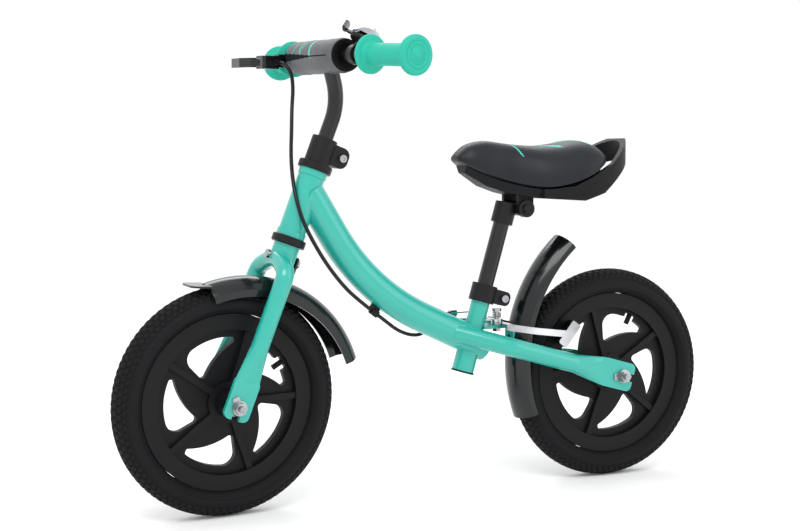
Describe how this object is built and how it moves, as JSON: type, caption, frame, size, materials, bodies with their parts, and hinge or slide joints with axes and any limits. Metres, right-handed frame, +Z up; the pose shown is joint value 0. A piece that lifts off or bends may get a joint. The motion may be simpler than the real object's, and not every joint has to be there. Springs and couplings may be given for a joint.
{
  "type": "balance bike",
  "caption": "Child's balance bike with curved main tube, two small wheels, padded saddle with a carrying loop, mudguards, bell and hand brake.",
  "frame": {"origin": "on the ground, midway between the two wheels, on the bike's centre plane", "axes": "+X forward, +Y to the rider's left, +Z up"},
  "size_m": [0.8454, 0.3992, 0.6164],
  "materials": {
    "head_tube": "gloss teal paint",
    "down_tube": "gloss teal paint",
    "seat_tube": "gloss teal paint",
    "seat_tube_plug": "fine grain black",
    "chainstay_left": "gloss teal paint",
    "chainstay_right": "gloss teal paint",
    "brake_bridge": "gloss teal paint",
    "cable_guide": "fine grain black",
    "headset_cups": "satin black",
    "headset_bearings": "ground steel",
    "seat_clamp": "satin black",
    "seat_clamp_bolt": "bright chrome",
    "rear_mudguard": "gloss black moulding",
    "rear_axle": "bright chrome",
    "rear_axle_nuts": "bright chrome",
    "rear_axle_washers": "bright chrome",
    "caliper_bolt": "bright chrome",
    "caliper_spring": "ground steel",
    "brake_cable_lower": "black cable sheath",
    "brake_inner_wire": "ground steel",
    "fork_steerer": "gloss teal paint",
    "fork_crown": "gloss teal paint",
    "fork_blade_left": "gloss teal paint",
    "fork_blade_right": "gloss teal paint",
    "stem_clamp": "satin black",
    "stem_clamp_bolt": "bright chrome",
    "front_mudguard": "gloss black moulding",
    "front_mudguard_bolt": "bright chrome",
    "front_axle": "bright chrome",
    "front_axle_nuts": "bright chrome",
    "front_axle_washers": "bright chrome",
    "brake_cable_middle": "black cable sheath",
    "front_rim": "fine grain black",
    "front_tyre": "matte black rubber",
    "front_inner_tube": "smooth black rubber",
    "front_bearings": "ground steel",
    "rear_rim": "fine grain black",
    "rear_tyre": "matte black rubber",
    "rear_inner_tube": "smooth black rubber",
    "rear_bearings": "ground steel",
    "stem_tube": "gloss black paint",
    "handlebar_tube": "gloss black paint",
    "grip_left": "matte teal rubber",
    "grip_right": "matte teal rubber",
    "handlebar_pad": "printed vinyl cover",
    "bell_base": "fine grain black",
    "bell_dome": "bright chrome",
    "brake_lever_bracket": "fine grain black",
    "brake_cable_upper": "black cable sheath",
    "brake_lever": "gloss black moulding",
    "bell_lever": "gloss black moulding",
    "seat_post": "gloss black paint",
    "saddle_clamp": "satin black",
    "saddle_clamp_bolt": "bright chrome",
    "saddle_base": "fine grain black",
    "saddle_cushion": "smooth black cover with teal bands",
    "brake_arm_left": "bright chrome",
    "brake_pad_left": "smooth black rubber",
    "brake_arm_right": "bright chrome",
    "brake_pad_right": "smooth black rubber"
  },
  "bodies": {
    "frame": {"head_tube": "head_tube", "down_tube": "down_tube", "seat_tube": "seat_tube", "seat_tube_plug": "seat_tube_plug", "chainstay_left": "chainstay_left", "chainstay_right": "chainstay_right", "brake_bridge": "brake_bridge", "cable_guide": "cable_guide", "headset_cups": "headset_cups", "headset_bearings": "headset_bearings", "seat_clamp": "seat_clamp", "seat_clamp_bolt": "seat_clamp_bolt", "rear_mudguard": "rear_mudguard", "rear_axle": "rear_axle", "rear_axle_nuts": "rear_axle_nuts", "rear_axle_washers": "rear_axle_washers", "caliper_bolt": "caliper_bolt", "caliper_spring": "caliper_spring", "brake_cable_lower": "brake_cable_lower", "brake_inner_wire": "brake_inner_wire"},
    "fork": {"fork_steerer": "fork_steerer", "fork_crown": "fork_crown", "fork_blade_left": "fork_blade_left", "fork_blade_right": "fork_blade_right", "stem_clamp": "stem_clamp", "stem_clamp_bolt": "stem_clamp_bolt", "front_mudguard": "front_mudguard", "front_mudguard_bolt": "front_mudguard_bolt", "front_axle": "front_axle", "front_axle_nuts": "front_axle_nuts", "front_axle_washers": "front_axle_washers", "brake_cable_middle": "brake_cable_middle"},
    "front_wheel": {"front_rim": "front_rim", "front_tyre": "front_tyre", "front_inner_tube": "front_inner_tube", "front_bearings": "front_bearings"},
    "rear_wheel": {"rear_rim": "rear_rim", "rear_tyre": "rear_tyre", "rear_inner_tube": "rear_inner_tube", "rear_bearings": "rear_bearings"},
    "handlebar": {"stem_tube": "stem_tube", "handlebar_tube": "handlebar_tube", "grip_left": "grip_left", "grip_right": "grip_right", "handlebar_pad": "handlebar_pad", "bell_base": "bell_base", "bell_dome": "bell_dome", "brake_lever_bracket": "brake_lever_bracket", "brake_cable_upper": "brake_cable_upper"},
    "brake_lever": {"brake_lever": "brake_lever"},
    "bell_lever": {"bell_lever": "bell_lever"},
    "seat_post": {"seat_post": "seat_post", "saddle_clamp": "saddle_clamp", "saddle_clamp_bolt": "saddle_clamp_bolt"},
    "saddle": {"saddle_base": "saddle_base", "saddle_cushion": "saddle_cushion"},
    "caliper_arm_left": {"brake_arm_left": "brake_arm_left", "brake_pad_left": "brake_pad_left"},
    "caliper_arm_right": {"brake_arm_right": "brake_arm_right", "brake_pad_right": "brake_pad_right"}
  },
  "joints": [
    {"name": "steering", "type": "hinge", "parent": "frame", "child": "fork", "pos_m": [0.26955, 0, 0.14308], "axis": [-0.3649, 0, 0.9311], "range_deg": [-46, 34], "deforming": ["brake_cable_middle"]},
    {"name": "handlebar_height", "type": "slide", "parent": "fork", "child": "handlebar", "axis": [-0.3649, 0, 0.9311], "range_m": [-0.02, 0.025], "deforming": ["brake_cable_upper"]},
    {"name": "front_wheel_spin", "type": "hinge", "parent": "fork", "child": "front_wheel", "pos_m": [0.27696, 0.00084, 0.14598], "axis": [-0.0973, 0.9945, -0.0381], "continuous": true},
    {"name": "rear_wheel_spin", "type": "hinge", "parent": "frame", "child": "rear_wheel", "pos_m": [-0.277, 0, 0.146], "axis": [0, 1, 0], "continuous": true},
    {"name": "seat_height", "type": "slide", "parent": "frame", "child": "seat_post", "axis": [-0.284, 0, 0.9588], "range_m": [-0.02, 0.04]},
    {"name": "saddle_tilt", "type": "hinge", "parent": "seat_post", "child": "saddle", "pos_m": [-0.13665, 0, 0.37933], "axis": [0, 1, 0], "range_deg": [-6, 6]},
    {"name": "brake_lever_pull", "type": "hinge", "parent": "handlebar", "child": "brake_lever", "pos_m": [0.18557, -0.10376, 0.57518], "axis": [0.0019, -0.0381, -0.9993], "range_deg": [0, 25], "stiffness_Nm_per_rad": 0.4, "springref_deg": -17.19, "deforming": ["brake_inner_wire", "brake_cable_lower"]},
    {"name": "caliper_left_close", "type": "hinge", "parent": "frame", "child": "caliper_arm_left", "pos_m": [-0.105, 0, 0.226], "axis": [0, 0, 1], "range_deg": [0, 1.2]},
    {"name": "caliper_right_close", "type": "hinge", "parent": "frame", "child": "caliper_arm_right", "pos_m": [-0.105, 0, 0.226], "axis": [0, 0, 1], "range_deg": [-1.2, 0]},
    {"name": "bell_lever_push", "type": "hinge", "parent": "handlebar", "child": "bell_lever", "pos_m": [0.12845, 0.077, 0.59697], "axis": [-0.5724, -0.0246, 0.8196], "range_deg": [0, 25], "stiffness_Nm_per_rad": 0.05, "springref_deg": -11.46}
  ],
  "couplings": [
    {"joint": "caliper_left_close", "follows": "brake_lever_pull", "ratio": 0.048},
    {"joint": "caliper_right_close", "follows": "brake_lever_pull", "ratio": -0.048}
  ]
}
